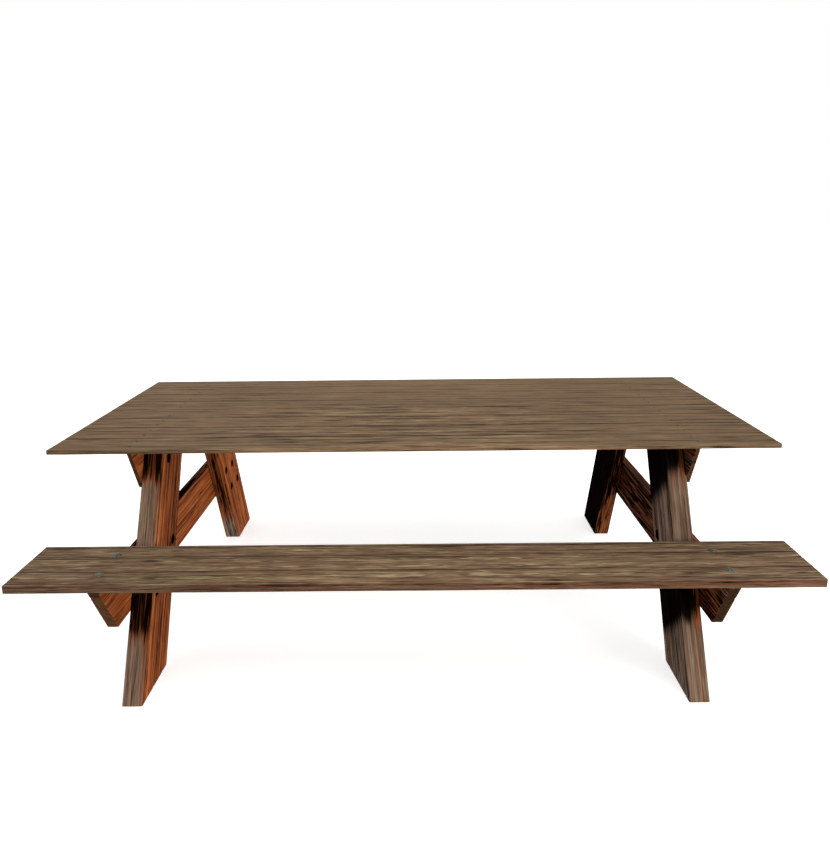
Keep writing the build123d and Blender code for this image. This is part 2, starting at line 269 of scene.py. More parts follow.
def timber(node, slot, origin, axes, width, thick, ends, seed, paint, *, arris, step_across,
           step_deep, step_along, relief, pith, spacing, checks, check_depth=0.002,
           end_wear=0.0012, cap_rings=5, dents=0.0, frac_limits=(-0.5, 0.5)):
    """Builds the board that replaces a node. ends holds the start and stop planes as functions
    of (across, deep), pith is the log's heart in the section, spacing is the width of a growth
    ring, and paint gives the weathering fields, painted light and shade among them."""
    origin, along_dir, across_dir, deep_dir = (np.array(v, float) for v in (origin, *axes))
    start, stop = ends
    outline = section(width, thick, arris, step_across, step_deep)
    row_across, row_deep, out_across, out_deep, row_face = outline.T
    point_count = len(outline)
    length = float(np.max(stop(row_across, row_deep) - start(row_across, row_deep)))
    rng = np.random.RandomState(seed)
    offset = rng.rand(3) * 40.0

    share, inset = stations(length, end_wear, max(8, int(round(length / step_along))))
    row_count = len(share)
    across = row_across - out_across * inset[:, None]
    deep = row_deep - out_deep * inset[:, None]
    lo, hi = start(across, deep), stop(across, deep)
    along = lo + (hi - lo) * share[:, None]

    def ring_at(along, across, deep):
        """Growth rings counted out from the pith."""
        pith_across = pith[0] + PITH_WANDER * noise(along * 0.9 + offset[0], 3.5, seed + 11)
        pith_deep = pith[1] + 0.4 * PITH_WANDER * noise(along * 0.7 + offset[1], 8.5, seed + 12)
        radius = np.sqrt((across - pith_across) ** 2 + (deep - pith_deep) ** 2)
        radius = (radius + 0.0022 * noise(along * 3.0 + offset[2], radius * 40, seed + 13)
                  + 0.0008 * noise(along * 11 + offset[0], radius * 160, seed + 14))
        return radius / spacing

    def torn(across, deep):
        return 0.5 + 0.5 * fbm(across * 260 + offset[0], deep * 260 + offset[1], seed + 71, 2)

    # raised latewood, fibres and shallow hollows
    ring = ring_at(along, across, deep)
    band = ring - np.floor(ring)
    late = smooth(band, 0.55, 0.85) * (1 - smooth(band, 0.92, 1.0))
    round_board = np.where(np.isin(row_face, (0, 2)), across, deep) + row_face * 0.7
    fibre = fbm(along * 9 + offset[0], round_board * 210 + offset[1], seed + 21, 2)
    hollow = 0.5 + 0.5 * fbm(along * 1.6 + offset[1], round_board * 26 + offset[2], seed + 31, 2)
    depth = relief * ((1 - late) * 0.45 + 0.35 * (0.5 - 0.5 * fibre) + 0.35 * hollow)
    # wider wear on the arrises
    edge = (np.clip(1 - np.abs(np.abs(out_across) - np.abs(out_deep)), 0, 1)
            * np.ones_like(along))
    chafe = fbm(along * 7 + offset[2], row_face * 3.3 + offset[0], seed + 41, 3)
    wear = np.clip(0.55 + 0.75 * chafe, 0, 1.4)
    depth = depth + edge * wear * arris * 0.42
    # bumps and bruises
    bruise = fbm(along * 6 + offset[0], round_board * 22 + offset[2], seed + 51, 2)
    depth = depth + dents * np.clip(bruise - 0.45, 0, 1)
    crack = drying_checks(rng, checks, along, across, row_face, lo, hi, width, length,
                          offset, seed)
    depth = depth + check_depth * crack
    worn_across = across - out_across * depth
    worn_deep = deep - out_deep * depth
    # the last stations lean in a little where the saw tore the fibres
    tear = 0.0006 * torn(across, deep)
    worn_along = along + (tear * bell((along - lo) / 0.004) - tear * bell((hi - along) / 0.004))

    def cap_layer(limit, inward, across, deep):
        """One ring of points on a sawn end face, pitted, saw-marked and split."""
        plane = limit(across, deep)
        ring = ring_at(plane, across, deep)
        late = smooth(ring - np.floor(ring), 0.55, 0.85)
        pit = 0.0007 * torn(across, deep) + 0.0004 * (1 - late)
        saw = 0.00012 * np.sin((across * 0.4 + deep) * 2 * math.pi / 0.0035)
        split = bell(noise(across * 38 + offset[2], deep * 3, seed + 81) / 0.035) * smooth(
            noise(across * 19 + offset[1], 2.2, seed + 82), 0.05, 0.4)
        along = plane + inward * (pit + saw + 0.0022 * split)
        cavity = np.clip(0.3 + 0.4 * (1 - late) + split, 0, 1)
        return layer(along, across, deep, cavity, 0.0, split, row_face, ring, 1.0)

    cavity = np.clip(depth / (relief * 1.25 + 1e-9), 0, 1)
    layers = [layer(worn_along, worn_across, worn_deep, cavity, edge, crack, row_face, ring, 0.0)]
    count = row_count * point_count
    index = np.arange(count).reshape(row_count, point_count)
    beside = np.roll(index, -1, axis=1)
    quads = [np.stack([index[:-1], index[1:], beside[1:], beside[:-1]], -1).reshape(-1, 4)]
    for row, limit, inward in ((0, start, 1.0), (-1, stop, -1.0)):
        last = index[row]
        for k in range(1, cap_rings + 1):
            size = 1 - k / cap_rings
            shrink = (width / 2 - (thick / 2) * (1 - size)) / (width / 2)
            # the last ring is the face's middle line, where both halves share the same points
            ring_across = (worn_across[row] if k < cap_rings else row_across) * shrink
            layers.append(cap_layer(limit, inward, ring_across, worn_deep[row] * size))
            this = np.arange(count, count + point_count)
            count += point_count
            last_next, this_next = np.roll(last, -1), np.roll(this, -1)
            if inward > 0:
                quads.append(np.stack([last, last_next, this_next, this], -1))
            else:
                quads.append(np.stack([last, this, this_next, last_next], -1))
            last = this
    table = np.concatenate(layers)
    quads = np.concatenate(quads)
    if np.dot(np.cross(along_dir, across_dir), deep_dir) >= 0:
        quads = quads[:, ::-1]
    local = table[:, :3]
    cavity, edge, crack, face, ring, cap = table[:, 3:].T
    world = (origin + local[:, 0:1] * along_dir + local[:, 1:2] * across_dir
             + local[:, 2:3] * deep_dir)

    face_dirs = np.array([deep_dir, across_dir, -deep_dir, -across_dir])
    middle = 0.5 * float(np.max(stop(row_across, row_deep)) + np.min(start(row_across, row_deep)))
    end_sign = np.where(local[:, 0] > middle, 1.0, -1.0)
    normal = np.where((cap > 0.5)[:, None], along_dir * end_sign[:, None],
                      face_dirs[face.astype(int)])

    name = node + "_worn"
    mesh = quad_mesh(name, world, quads)
    shift = offset * np.array([1.0, 0.13, 0.07])
    fields = dict(wv=local + shift, ring=ring, cavity=cavity, edge=edge, crack=crack, cap=cap,
                  **paint(world, normal, cap),
                  frac=np.clip(local[:, 1] / width, *frac_limits), mark=1.0)
    for key, values in fields.items():
        set_attr(mesh, key, values)
    ob = link(name, mesh)
    GRAIN[name] = (origin, along_dir, across_dir, deep_dir, shift)
    weld_ends(mesh, row_count, point_count, cap_rings)
    shade_smooth(mesh, 48)
    return own(ob, node, slot)


# ---------------------------------------------------------------------------
# weathering fields and painted light and shade, from world position, face normal and whether a
# point is on a sawn end. The numbers in smooth() and bell() are places in metres.
# ---------------------------------------------------------------------------
def look(weather, soot, busy=1.0, shade=1.0, rag=1.0):
    """weather is 1 for silvered grey-brown and 0 for red-brown stain, soot is black staining
    and painted shade, busy is streak contrast, shade is brightness, which also paints light on
    lit faces and shade in the recesses, and rag is how ragged the edge of the soot and shade is."""
    return dict(weather=weather, soot=soot, busy=busy, shade=shade, rag=rag)


def combine(*cases):
    """Joins (mask, look) pairs into one set of fields."""
    fields = {}
    for key in cases[0][1]:
        fields[key] = 0.0
        for mask, face_look in cases:
            fields[key] = np.where(mask, face_look[key], fields[key])
    return fields


UNDERSIDE = look(0.12, 0.22, busy=0.9, shade=0.9)


def paint_top(place, normal, cap):
    x, y, z = place.T
    up, down = normal[:, 2] > 0.5, normal[:, 2] < -0.5
    # brighter and busier in the front middle, with a dim belt just behind the centre line
    centre = (1 - smooth(np.abs(x + 0.02), 0.25, 0.75)) * (1 - smooth(y, -0.05, 0.15))
    belt = bell((y - 0.035) / 0.060) * (1 - smooth(np.abs(x), 0.35, 0.60))
    upper = look(1.0, 0.0, busy=0.66 + 0.50 * centre - 0.14 * smooth(y, 0.15, 0.4),
                 shade=(0.97 + 0.16 * centre + 0.06 * (1 - smooth(np.abs(x), 0.2, 0.6))
                        - 0.21 * belt))
    sides = look(0.55 + 0.40 * smooth(z, 0.736, 0.744) + 0.10 * noise(x * 2, 0, 905),
                 0.14 * (1 - smooth(z, 0.736, 0.741)), busy=0.9,
                 shade=0.86 + 0.52 * (1 - smooth(np.abs(x), 0.3, 0.9)))
    return combine((~up & ~down, sides), (up, upper), (down, UNDERSIDE))


def paint_bench(place, normal, cap):
    x, _, z = place.T
    up, down = normal[:, 2] > 0.5, normal[:, 2] < -0.5
    upper = look(1.0, 0.0, shade=0.99 + 0.22 * (1 - smooth(np.abs(x), 0.35, 0.85)))
    sides = look(0.44 + 0.16 * noise(x * 2.3, z * 60, 915),
                 0.30 * smooth(z, 0.426, 0.432) * (1 - smooth(z, 0.4375, 0.4395)),
                 busy=0.9, shade=0.80)
    return combine((~up & ~down, sides), (up, upper), (down, UNDERSIDE))


def recess_shade_halo(end, place):
    """Painted shade around the bolt recesses, which widens their black."""
    halo = np.zeros(len(place))
    for y, z in LEG_HOLES:
        distance = np.hypot(place[:, 1] - end * y, place[:, 2] - z)
        halo = np.maximum(halo, 1 - smooth(distance, 0.0138, 0.0185))
    return halo


def left_leg_looks(end, x, z, from_edge, low):
    """Looks of a left leg's outer edge, inner edge and inner wide face."""
    # painted shadow: black under the top and under the bench, where their shadows fall on the
    # leg, and redder there
    dark = np.maximum(smooth(z, 0.565, 0.665),
                      smooth(z, 0.125, 0.215) * (1 - smooth(z, 0.350, 0.400)))
    weather = 0.84 - 0.50 * dark - 0.14 * smooth(x, -0.856, -0.838)
    for line_x in (-0.8745, -0.8570, -0.8480, -0.8395):
        weather = weather - 0.34 * bell((x - line_x) / 0.0023)
    outer_edge = look(weather, 0.76 * dark, busy=0.66)
    # the inner edge faces inward and down: painted shade darkens it, and it turns greyer and
    # brighter towards the foot as painted light from below
    inner_edge = look(0.04 + 0.80 * low, 0.60 - 0.36 * low - 0.20 * smooth(x, -0.856, -0.836),
                      shade=1.0 + 0.3 * low, rag=1.5)
    if end < 0:
        # painted shade on the front left leg's inner face: darker along both edges and in one
        # line along it, a painted shadow under the bench and a little darker towards the top; its
        # shade of 1.27 is painted light on this side, which faces the light
        soot = (0.20 + 0.32 * (1 - smooth(from_edge, 0.0, 0.018))
                + 0.26 * bell((from_edge - 0.150) / 0.012)
                + 0.30 * smooth(from_edge, 0.186, 0.206)
                + 0.22 * smooth(z, 0.18, 0.29) * (1 - smooth(z, 0.36, 0.41))
                + 0.08 * smooth(z, 0.50, 0.70))
        return outer_edge, inner_edge, look(0.02, soot, busy=1.25, shade=1.27)
    # the rear left leg's inner face is brightened to 1.72 as painted light on this side, which
    # faces the light, and darkened a little near its outer edge
    soot = 0.02 + 0.10 * (1 - smooth(from_edge, 0.0, 0.03))
    return outer_edge, inner_edge, look(0.02, soot, shade=1.72)


def right_leg_looks(end, x, z, from_edge, low):
    """Looks of a right leg's outer edge, inner edge and inner wide face."""
    # painted shadow, black under the top and under the bench, redder towards the outer corner
    dark = np.maximum(smooth(z, 0.545, 0.690),
                      smooth(z, 0.135, 0.270) * (1 - smooth(z, 0.350, 0.400)))
    weather = 0.84 - (0.20 + 0.5 * smooth(x, 0.866, 0.884)) * dark
    weather = weather + 0.04 - 0.06 * smooth(x, 0.872, 0.892)
    for line_x in (0.8740, 0.8830, 0.8915):
        weather = weather - 0.30 * bell((x - line_x) / 0.0021)
    outer_edge = look(weather, 0.98 * dark * (1 - 0.46 * smooth(x, 0.858, 0.880)), busy=0.58,
                      shade=0.82, rag=0.25 + 1.25 * smooth(x, 0.862, 0.880))
    # painted shade on the inner edge, which faces inward and down: near black, a little less so
    # towards the foot, and blacker above the foot on its half nearer the table's middle
    soot = (0.66 - 0.10 * low + 0.08 * smooth(z, 0.25, 0.40) - 0.08 * smooth(x, 0.866, 0.890)
            + 0.45 * (1 - smooth(x, 0.834, 0.856)) * smooth(z, 0.12, 0.34))
    inner_edge = look(0.10 + 0.20 * low, soot, busy=1.6, rag=2.1)
    # two slanting painted shadows on the inner face, which is on the shaded side, one high and
    # one low
    high_shadow = smooth(z + 0.615 * from_edge, 0.520, 0.715)
    slant = z + 0.65 * from_edge
    low_shadow = smooth(slant, 0.150, 0.310) * (1 - smooth(slant, 0.355, 0.430))
    # the rear right leg's inner face is painted in shade all the way down to its foot
    if end > 0:
        high_shadow = np.maximum(high_shadow, 0.97 * smooth(z, -0.02, 0.02))
    soot = 1.18 * np.maximum(high_shadow, low_shadow) + 0.17
    return outer_edge, inner_edge, look(0.76, soot, busy=1.55, rag=0.30)


def paint_leg(side, end):
    def paint(place, normal, cap):
        x, y, z = place.T
        from_edge = np.abs(y - end * (LEG_EDGE_AT_FLOOR - LEG_SLOPE * z))
        low = 1 - smooth(z, 0.04, 0.20)
        looks = left_leg_looks if side < 0 else right_leg_looks
        outer_edge, inner_edge, inner_face = looks(end, x, z, from_edge, low)
        # painted shade round each bolt recess
        inner_face["soot"] = np.maximum(inner_face["soot"], 1.15 * recess_shade_halo(end, place))
        outer_face = look(0.60 + 0.20 * (1 - smooth(z, 0.05, 0.4)),
                          0.34 * smooth(z, 0.50, 0.62) + 0.06)
        fields = combine((normal[:, 1] * end > 0.5, outer_edge),
                         (normal[:, 1] * end < -0.5, inner_edge),
                         (normal[:, 0] * side < -0.5, inner_face),
                         (normal[:, 0] * side > 0.5, outer_face),
                         (cap > 0.5, look(0.4, 0.35)))
        # damp at the feet
        fields["soot"] = np.maximum(fields["soot"], 0.34 * (1 - smooth(z, 0.0, 0.010)))
        return fields
    return paint


def paint_beam(side):
    def paint(place, normal, cap):
        _, y, z = place.T
        reach = np.abs(y)
        if side < 0:
            # the left beam's inner face is brightened as painted light on the side that faces the
            # light, less so at its ends
            inner = look(0.02, 0.05 + 0.10 * smooth(reach, 0.62, 0.74), busy=0.95,
                         shade=1.55 - 0.55 * smooth(reach, 0.56, 0.64))
            upper = look(0.10, 0.55 + 0.12 * noise(y * 5, 0, 77))
            sawn = look(0.62, 0.16, shade=0.80)
        else:
            # the right beam's inner face is on the shaded side: painted shade, black with lighter
            # streaks, greyer high up at its ends
            inner = look(0.06 + 0.45 * smooth(reach, 0.60, 0.70) * smooth(z, 0.33, 0.41),
                         0.70 - 0.10 * smooth(reach, 0.5, 0.7), busy=1.4, rag=2.1)
            upper = look(0.34, 0.05, shade=0.66)
            sawn = look(0.62, 0.42, shade=0.34)
        return combine((normal[:, 0] * side < -0.5, inner),
                       (normal[:, 0] * side > 0.5, look(0.66, 0.12 * smooth(z, 0.38, 0.414))),
                       (normal[:, 2] > 0.5, upper),
                       (normal[:, 2] < -0.5, look(0.1, 0.25)),
                       (cap > 0.5, sawn))
    return paint


def paint_cleat(side):
    def paint(place, normal, cap):
        z = place[:, 2]
        if side < 0:
            # painted light: the left cleat's inner face is brightened on the side that faces the
            # light
            inner = look(0.05, 0.08, busy=0.7, shade=1.45)
        else:
            # painted shade: the right cleat's inner face is on the shaded side
            inner = look(0.45, 0.52, busy=0.7)
        return combine((np.abs(normal[:, 2]) > 0.5, look(0.3, 0.1)),
                       (normal[:, 0] * side < -0.5, inner),
                       (normal[:, 0] * side > 0.5, look(0.60, 0.30 * smooth(z, 0.66, 0.73))),
                       (cap > 0.5, look(0.95, 0.30, shade=0.55)))
    return paint


def paint_batten(place, normal, cap):
    return look(0.1, 0.22, shade=0.9)


# ---------------------------------------------------------------------------
# shader building
# ---------------------------------------------------------------------------
def lin(color):
    """sRGB 0-255 to linear."""
    shares = [c / 255.0 for c in color]
    return tuple(c / 12.92 if c <= 0.04045 else ((c + 0.055) / 1.055) ** 2.4 for c in shares)


class Shader:
    """A material with one Principled shader. Methods add a node and return its output."""

    def __init__(self, name):
        self.mat = bpy.data.materials.new(name)
        self.mat.use_nodes = True
        self.tree = self.mat.node_tree
        self.tree.nodes.clear()
        out = self.node("OutputMaterial")
        self.bsdf = self.node("BsdfPrincipled")
        self.tree.links.new(self.bsdf.outputs[0], out.inputs[0])

    def node(self, kind):
        return self.tree.nodes.new("ShaderNode" + kind)

    def put(self, socket, value):
        if isinstance(value, bpy.types.NodeSocket):
            self.tree.links.new(value, socket)
        elif isinstance(value, tuple) and len(value) == 3 and socket.type == "RGBA":
            socket.default_value = (*value, 1.0)
        else:
            socket.default_value = value

    def surface(self, key, value):
        self.put(self.bsdf.inputs[key], value)

    def attr(self, name, output="Fac"):
        node = self.node("Attribute")
        node.attribute_name = name
        return node.outputs[output]

    def object_place(self):
        return self.node("TexCoord").outputs["Object"]

    def math(self, operation, first, second=0.0, third=0.0, clamp=False):
        node = self.node("Math")
        node.operation = operation
        node.use_clamp = clamp
        for socket, value in zip(node.inputs, (first, second, third)):
            self.put(socket, value)
        return node.outputs[0]

    def add(self, first, second, clamp=False):
        return self.math("ADD", first, second, clamp=clamp)

    def sub(self, first, second):
        return self.math("SUBTRACT", first, second)

    def mul(self, first, second):
        return self.math("MULTIPLY", first, second)

    def split(self, vector):
        node = self.node("SeparateXYZ")
        self.put(node.inputs[0], vector)
        return node.outputs[0], node.outputs[1], node.outputs[2]

    def vector(self, x, y, z):
        node = self.node("CombineXYZ")
        for socket, value in zip(node.inputs, (x, y, z)):
            self.put(socket, value)
        return node.outputs[0]

    def noise(self, vector, scale=1.0, detail=2.0, rough=0.5):
        node = self.node("TexNoise")
        node.noise_dimensions = "3D"
        self.put(node.inputs["Vector"], vector)
        self.put(node.inputs["Scale"], scale)
        self.put(node.inputs["Detail"], detail)
        self.put(node.inputs["Roughness"], rough)
        return node.outputs["Fac"]

    def ramp(self, factor, stops):
        node = self.node("ValToRGB")
        elements = node.color_ramp.elements
        while len(elements) > 1:
            elements.remove(elements[-1])
        elements[0].position, elements[0].color = stops[0][0], (*lin(stops[0][1]), 1.0)
        for position, color in stops[1:]:
            elements.new(position).color = (*lin(color), 1.0)
        self.put(node.inputs[0], factor)
        return node.outputs[0]

    def step(self, value, lo, hi):
        node = self.node("MapRange")
        node.interpolation_type = "SMOOTHSTEP"
        self.put(node.inputs["Value"], value)
        self.put(node.inputs["From Min"], lo)
        self.put(node.inputs["From Max"], hi)
        return node.outputs[0]

    def mix(self, factor, first, second, mode="MIX"):
        node = self.node("Mix")
        node.data_type = "RGBA"
        node.blend_type = mode
        for i, value in ((0, factor), (6, first), (7, second)):
            self.put(node.inputs[i], value)
        return node.outputs[2]

    def bump(self, height, strength, distance):
        node = self.node("Bump")
        self.put(node.inputs["Strength"], strength)
        self.put(node.inputs["Distance"], distance)
        self.put(node.inputs["Height"], height)
        return node.outputs[0]


# sRGB colours of the sawn ends, by position on the ramp
END_GRAIN = [(0.14, (38, 25, 16)), (0.36, (86, 54, 33)), (0.52, (120, 78, 46)),
             (0.68, (138, 97, 60)), (0.88, (158, 120, 80))]


def wood(name, grey, red, *, broad, fine, lift, mids, lines=(), line_w=0.012, line_gain=0.5,
         line_gap=(0.30, 0.52), wander=0.03, stripe=0.0, ridges=(38.0, 85.0), patch=1.5,
         drift=0.75, wave=0.006, bands=(), hairs=1.0, ridge_gain=1.0):
    """Weathered softwood.

    grey, red: colour ramps of the silvered and the stained wood
    broad, fine, hairs, stripe: contrast of wide, middling and thin streaks, and long stripes
    lift: added brightness; mids: middling streaks per metre of width
    lines: dark grain lines, (fraction of the width, gain); line_w, line_gain, line_gap and
        wander give their width, strength, gaps and stray
    ridges, ridge_gain: dark ridges per metre of width, coarse and fine, and their strength
    patch: raggedness between grey and red; drift: olive and pink tint; wave: grain wander
    bands: rows of pale and dark dashes, (fraction of the width, half width, gain)
    """
    shader = Shader(name)
    add, sub, mul, step, mix = shader.add, shader.sub, shader.mul, shader.step, shader.mix
    math_node, vector = shader.math, shader.vector
    along, across, deep = shader.split(shader.attr("wv", "Vector"))
    ring, cavity, edge, crack, cap, weather, soot, busy, frac, shade, rag = (
        shader.attr(key) for key in ("ring", "cavity", "edge", "crack", "cap", "weather",
                                     "soot", "busy", "frac", "shade", "rag"))

    def centred(value, gain):
        return mul(sub(value, 0.5), gain)

    def bell_of(distance):
        return math_node("EXPONENT", mul(mul(distance, distance), -1.0))

    # slow wander of the grain
    wobble = shader.noise(vector(mul(along, 1.9), mul(across, 7.0), mul(deep, 7.0)))
    wobble = centred(wobble, wave)
    wavy_across, wavy_deep = add(across, wobble), add(deep, wobble)

    def streak(rate_along, rate_across, detail, rough, shift):
        """Noise drawn out along the grain. Rates are per metre."""
        place = vector(math_node("MULTIPLY_ADD", along, rate_along, shift),
                       mul(wavy_across, rate_across), mul(wavy_deep, rate_across))
        return shader.noise(place, 1.0, detail, rough)

    def crest(value, width, gaps, gap_lo, gap_hi):
        """A thin line where the value crosses its middle, broken by the gaps."""
        off_middle = math_node("ABSOLUTE", sub(value, 0.5))
        return mul(sub(1.0, step(off_middle, 0.0, width)), step(gaps, gap_lo, gap_hi))

    # streaks: rate along, rate across, detail, roughness, shift
    wide = streak(1.3, 26.0, 1.0, 0.5, 3.1)
    mid = streak(3.2, mids, 2.0, 0.6, 7.7)
    dash = streak(8.0, mids * 2.1, 2.0, 0.6, 13.3)
    thin = streak(15.0, 380.0, 2.0, 0.6, 21.9)
    hair = streak(30.0, 1100.0, 1.0, 0.5, 31.0)
    stripes = streak(0.55, 125.0, 1.0, 0.5, 91.0)
    # crests: line, width, gaps and the range over which the gaps close
    coarse_ridge = crest(streak(1.4, ridges[0], 1.0, 0.5, 17.0), 0.040,
                         streak(3.0, 14.0, 0.0, 0.5, 18.0), 0.36, 0.58)
    fine_ridge = crest(streak(2.6, ridges[1], 1.0, 0.5, 27.0), 0.050,
                       streak(6.0, 30.0, 0.0, 0.5, 28.0), 0.40, 0.60)
    pale_ridge = crest(streak(3.4, 60.0, 1.0, 0.5, 37.0), 0.040,
                       streak(7.0, 25.0, 0.0, 0.5, 38.0), 0.45, 0.62)
    band = math_node("FRACT", ring)
    late = mul(step(band, 0.45, 0.86), sub(1.0, step(band, 0.90, 1.0)))

    # tone: the position on the colour ramps
    tone = centred(mid, 1.05 * fine)
    for value, gain in ((dash, 0.80 * fine), (thin, 0.55 * hairs), (hair, 0.35 * hairs),
                        (wide, broad), (stripes, stripe)):
        tone = add(tone, centred(value, gain))
    tone = add(tone, mul(late, -0.10))
    tone = sub(tone, mul(coarse_ridge, 0.24 * ridge_gain))
    tone = sub(tone, mul(fine_ridge, 0.20 * ridge_gain))
    tone = add(tone, mul(pale_ridge, 0.20))
    tone = mul(tone, busy)
    for k, (line_frac, gain) in enumerate(lines):
        stray = shader.noise(vector(math_node("MULTIPLY_ADD", along, 1.1, 5.7 * k), 0.0, 0.0))
        # lines at the very edge run straight
        stray = centred(stray, wander if abs(line_frac) < 0.44 else 0.0)
        distance = math_node("DIVIDE", sub(add(frac, stray), line_frac), line_w)
        line = bell_of(distance)
        shown = shader.noise(
            vector(math_node("MULTIPLY_ADD", along, 2.6, 9.1 * k + 2.0), 4.0, 0.0), detail=1.0)
        line = mul(line, add(0.25, mul(step(shown, *line_gap), 0.75)))
        tone = sub(tone, mul(mul(line, busy), gain * line_gain))
    tone = add(tone, 0.5 + lift)
    olive = None
    if bands:
        pale_dash = streak(13.0, 95.0, 1.0, 0.5, 61.0)
        dark_dash = streak(17.0, 70.0, 1.0, 0.5, 69.0)
        for k, (band_frac, half_width, gain) in enumerate(bands):
            stray = shader.noise(
                vector(math_node("MULTIPLY_ADD", along, 2.3, 3.3 * k + 11.0), 0.0, 0.0))
            off_band = sub(add(frac, centred(stray, 0.03)), band_frac)
            row = mul(bell_of(math_node("DIVIDE", off_band, half_width)), gain)
            olive = row if olive is None else add(olive, row)
        tone = add(tone, mul(olive, mul(step(pale_dash, 0.50, 0.66), 0.34)))
        tone = sub(tone, mul(olive, mul(step(dark_dash, 0.56, 0.70), 0.26)))

    grey_col = shader.ramp(tone, grey)
    if olive is not None:
        grey_col = mix(mul(olive, 0.55), grey_col, (0.98, 1.02, 0.90), "MULTIPLY")
    # olive and pink drift over the grey
    tint = streak(1.9, 48.0, 2.0, 0.5, 41.0)
    for lo, hi, color in ((0.50, 0.70, (0.92, 1.03, 0.84)), (0.48, 0.30, (1.08, 0.94, 0.92))):
        grey_col = mix(mul(step(tint, lo, hi), mul(busy, drift)), grey_col, color, "MULTIPLY")
    red_col = shader.ramp(tone, red)
    patches = streak(0.9, 130.0, 2.0, 0.6, 55.0)
    col = mix(step(add(weather, centred(patches, patch)), 0.32, 0.68), red_col, grey_col)

    # soot and painted shade: a soft darkening with black streaks in it
    soot_shade_streak = streak(10.0, 115.0, 2.0, 0.6, 77.0)
    fine_soot_shade_streak = streak(5.0, 240.0, 1.0, 0.5, 87.0)
    ragged = add(soot, mul(rag, add(centred(soot_shade_streak, 1.5), centred(fine_soot_shade_streak, 1.3))))
    black = math_node("MAXIMUM", step(ragged, 0.38, 0.78), step(soot, 0.92, 1.12))
    dim = mul(shade, sub(1.0, mul(step(soot, 0.25, 1.0), 0.72)))

    def dimmed(color):
        return mix(1.0, color, vector(dim, dim, dim), "MULTIPLY")

    col = dimmed(col)
    # the near black of the soot and painted shade, with faint lighter streaks
    soot_shade_black = mix(add(mul(step(thin, 0.42, 0.72), 0.5), mul(step(mid, 0.45, 0.70), 0.5)),
               (0.0014, 0.0009, 0.0007), (0.0115, 0.0070, 0.0050))
    col = mix(mul(black, 0.98), col, soot_shade_black)
    # dirt in the hollows and the checks, pale fibres on the worn arrises
    col = mix(mul(step(cavity, 0.45, 1.0), 0.28), col, (0.25, 0.19, 0.15), "MULTIPLY")
    col = mix(mul(crack, 0.92), col, (0.010, 0.007, 0.005))
    pale = mul(mul(edge, step(dash, 0.48, 0.75)), sub(0.34, mul(black, 0.34)))
    col = mix(pale, col, lin((150, 126, 98)))

    # end grain: growth rings, pores and blotches
    pore = shader.noise(vector(mul(across, 900.0), mul(deep, 900.0), along))
    blotch = shader.noise(vector(mul(across, 70.0), mul(deep, 70.0), along), detail=3.0)
    end_tone = add(mul(late, -0.34), add(0.16, add(mul(pore, 0.42), mul(blotch, 0.42))))
    end_col = dimmed(shader.ramp(end_tone, END_GRAIN))
    end_col = mix(mul(black, 0.85), end_col, (0.006, 0.005, 0.004))
    end_col = mix(mul(crack, 0.9), end_col, (0.006, 0.004, 0.003))
    shader.surface("Base Color", mix(cap, col, end_col))

    rough = add(0.80, add(centred(thin, 0.30), mul(black, 0.10)), clamp=True)
    shader.surface("Roughness", rough)
    shader.surface("Specular IOR Level", sub(0.09, mul(black, 0.09)))
    height = add(mul(thin, 0.55), mul(hair, 0.25))
    height = add(height, mul(mid, 0.45))
    height = sub(height, mul(add(coarse_ridge, fine_ridge), 0.30))
    height = sub(height, mul(late, -0.25))
    shader.surface("Normal", shader.bump(height, strength=0.55, distance=0.0009))
    return shader.mat


def metal(name, base, dark, rust, rust_amount, rough, metallic, scale=1.0, shade_inside=None,
          spec=0.3):
    """Weathered steel with blotches, rust and specks, in object space. Given shade_inside, the
    parts inside the recesses are painted black as shade. Colours are sRGB.
    """
    shader = Shader(name)
    add, sub, mul, step, mix = shader.add, shader.sub, shader.mul, shader.step, shader.mix
    place = shader.object_place()
    blotch = shader.noise(place, 190.0 * scale, detail=4.0, rough=0.6)
    speck = shader.noise(place, 900.0 * scale, detail=3.0, rough=0.6)
    cloud = shader.noise(place, 60.0 * scale, detail=3.0, rough=0.55)
    col = mix(step(blotch, 0.35, 0.68), lin(dark), lin(base))
    bright = lin(tuple(min(255, int(c * 1.35)) for c in base))
    col = mix(mul(step(speck, 0.45, 0.8), 0.4), col, bright)
    rusty = step(add(mul(cloud, 0.6), mul(blotch, 0.4)),
                 0.62 - rust_amount * 0.3, 0.74 - rust_amount * 0.2)
    col = mix(rusty, col, lin(rust))
    outside_recess = 1.0
    if shade_inside is not None:
        # painted shade: black, with no shine, on what sits inside the recesses, nearer x = 0 than
        # the given distance
        x, _, _ = shader.split(place)
        outside_recess = step(shader.math("ABSOLUTE", x), shade_inside, shade_inside + 0.01)
        col = mix(outside_recess, lin((16, 13, 11)), col)
    shader.surface("Base Color", col)
    shader.surface("Specular IOR Level", mul(outside_recess, spec))
    shader.surface("Metallic", mul(mul(sub(1.0, mul(rusty, 0.85)), metallic), outside_recess))
    shader.surface("Roughness",
                   add(mul(speck, 0.25), add(mul(rusty, 0.25), rough - 0.1), clamp=True))
    height = add(mul(blotch, 0.6), mul(speck, 0.4))
    shader.surface("Normal", shader.bump(height, strength=0.35, distance=0.0005))
    return shader.mat


